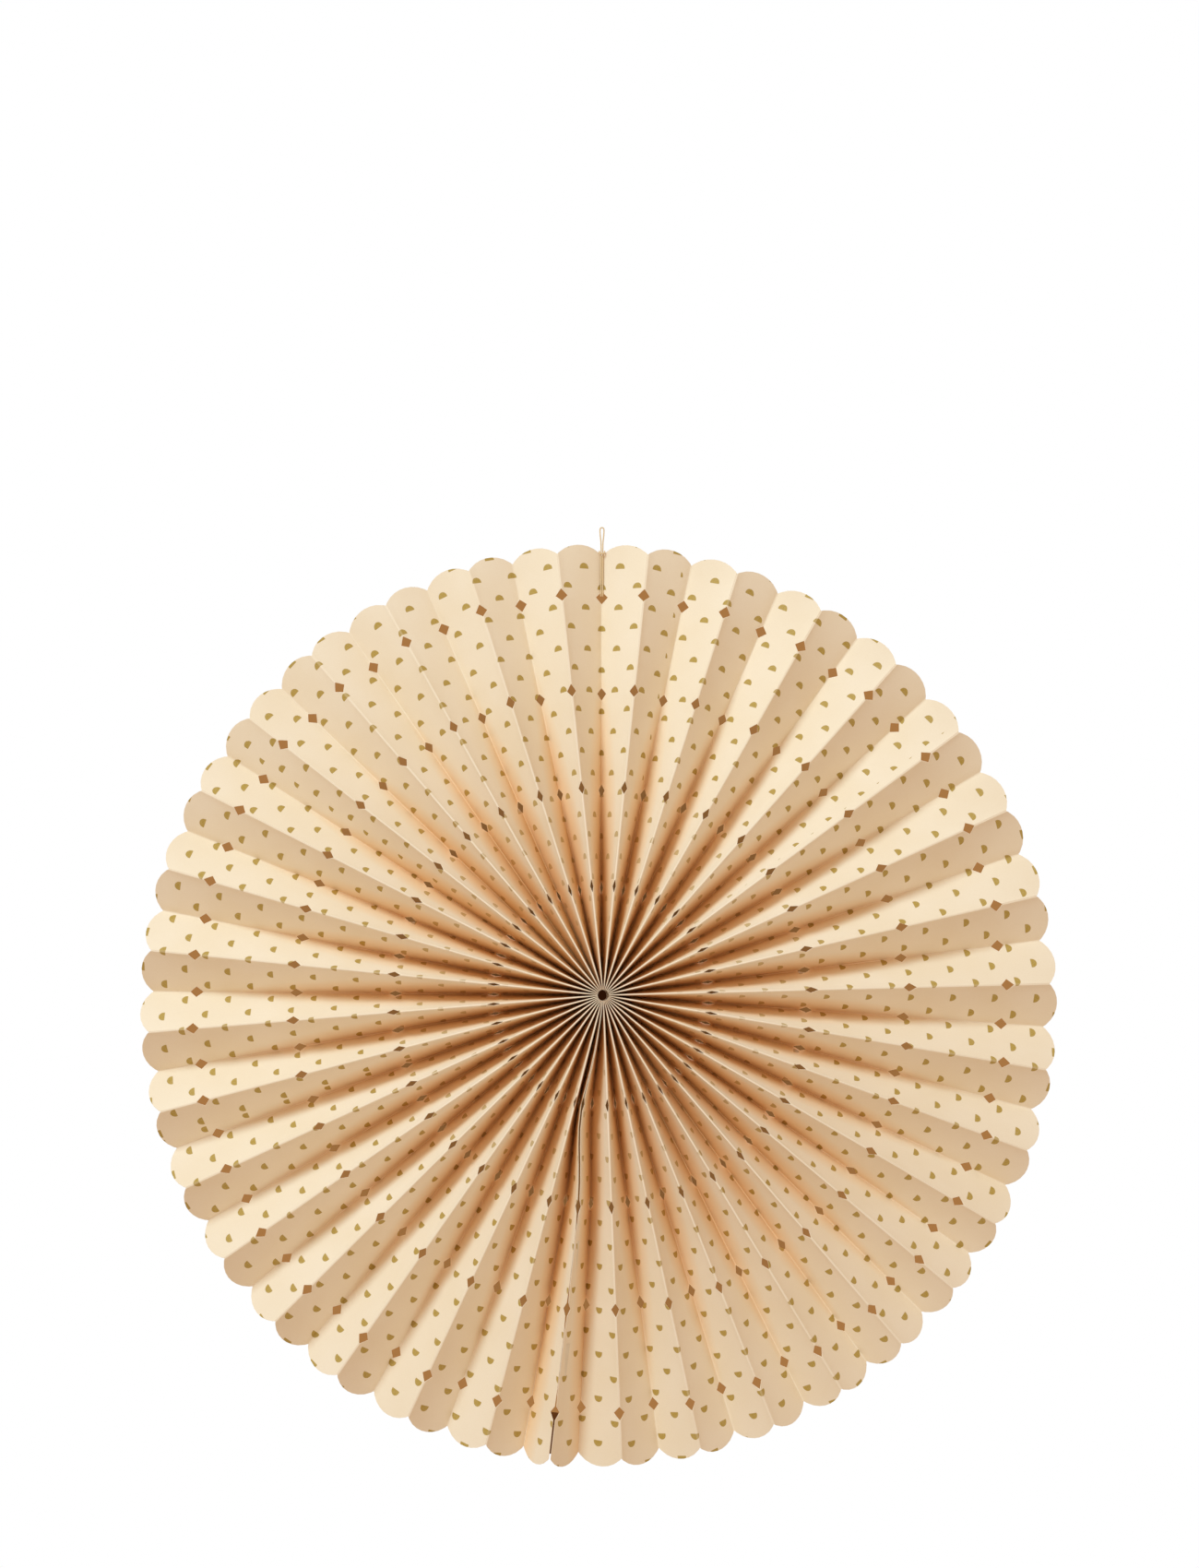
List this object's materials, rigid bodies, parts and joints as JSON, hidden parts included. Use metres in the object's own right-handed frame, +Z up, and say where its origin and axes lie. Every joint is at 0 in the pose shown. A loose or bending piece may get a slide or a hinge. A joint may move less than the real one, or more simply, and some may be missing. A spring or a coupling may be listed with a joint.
{
  "type": "paper fan rosette",
  "caption": "Round hanging paper fan: one accordion-pleated strip opened into a full disc, with a scalloped rim, diamond cut-outs on the folds, a joined seam and a thread loop at the top.",
  "frame": {"origin": "seat of the hanging loop: the inner top of the thread's crown, where a hook or pin bears; the hub's axis lies 259 mm below it and the pleats' middle plane 3.5 mm in front of it", "axes": "+Z up, the printed front faces -Y, +X to the right as seen from the front"},
  "size_m": [0.4979, 0.0283, 0.5087],
  "materials": {
    "printed_paper": "matte",
    "tab_paper": "matte",
    "thread": "twisted cotton"
  },
  "bodies": {
    "root": {"pleated_paper": "printed_paper", "seam_tab_inner": "tab_paper", "seam_tab_outer": "tab_paper", "gathering_thread": "thread", "hanging_thread": "thread"}
  },
  "joints": []
}
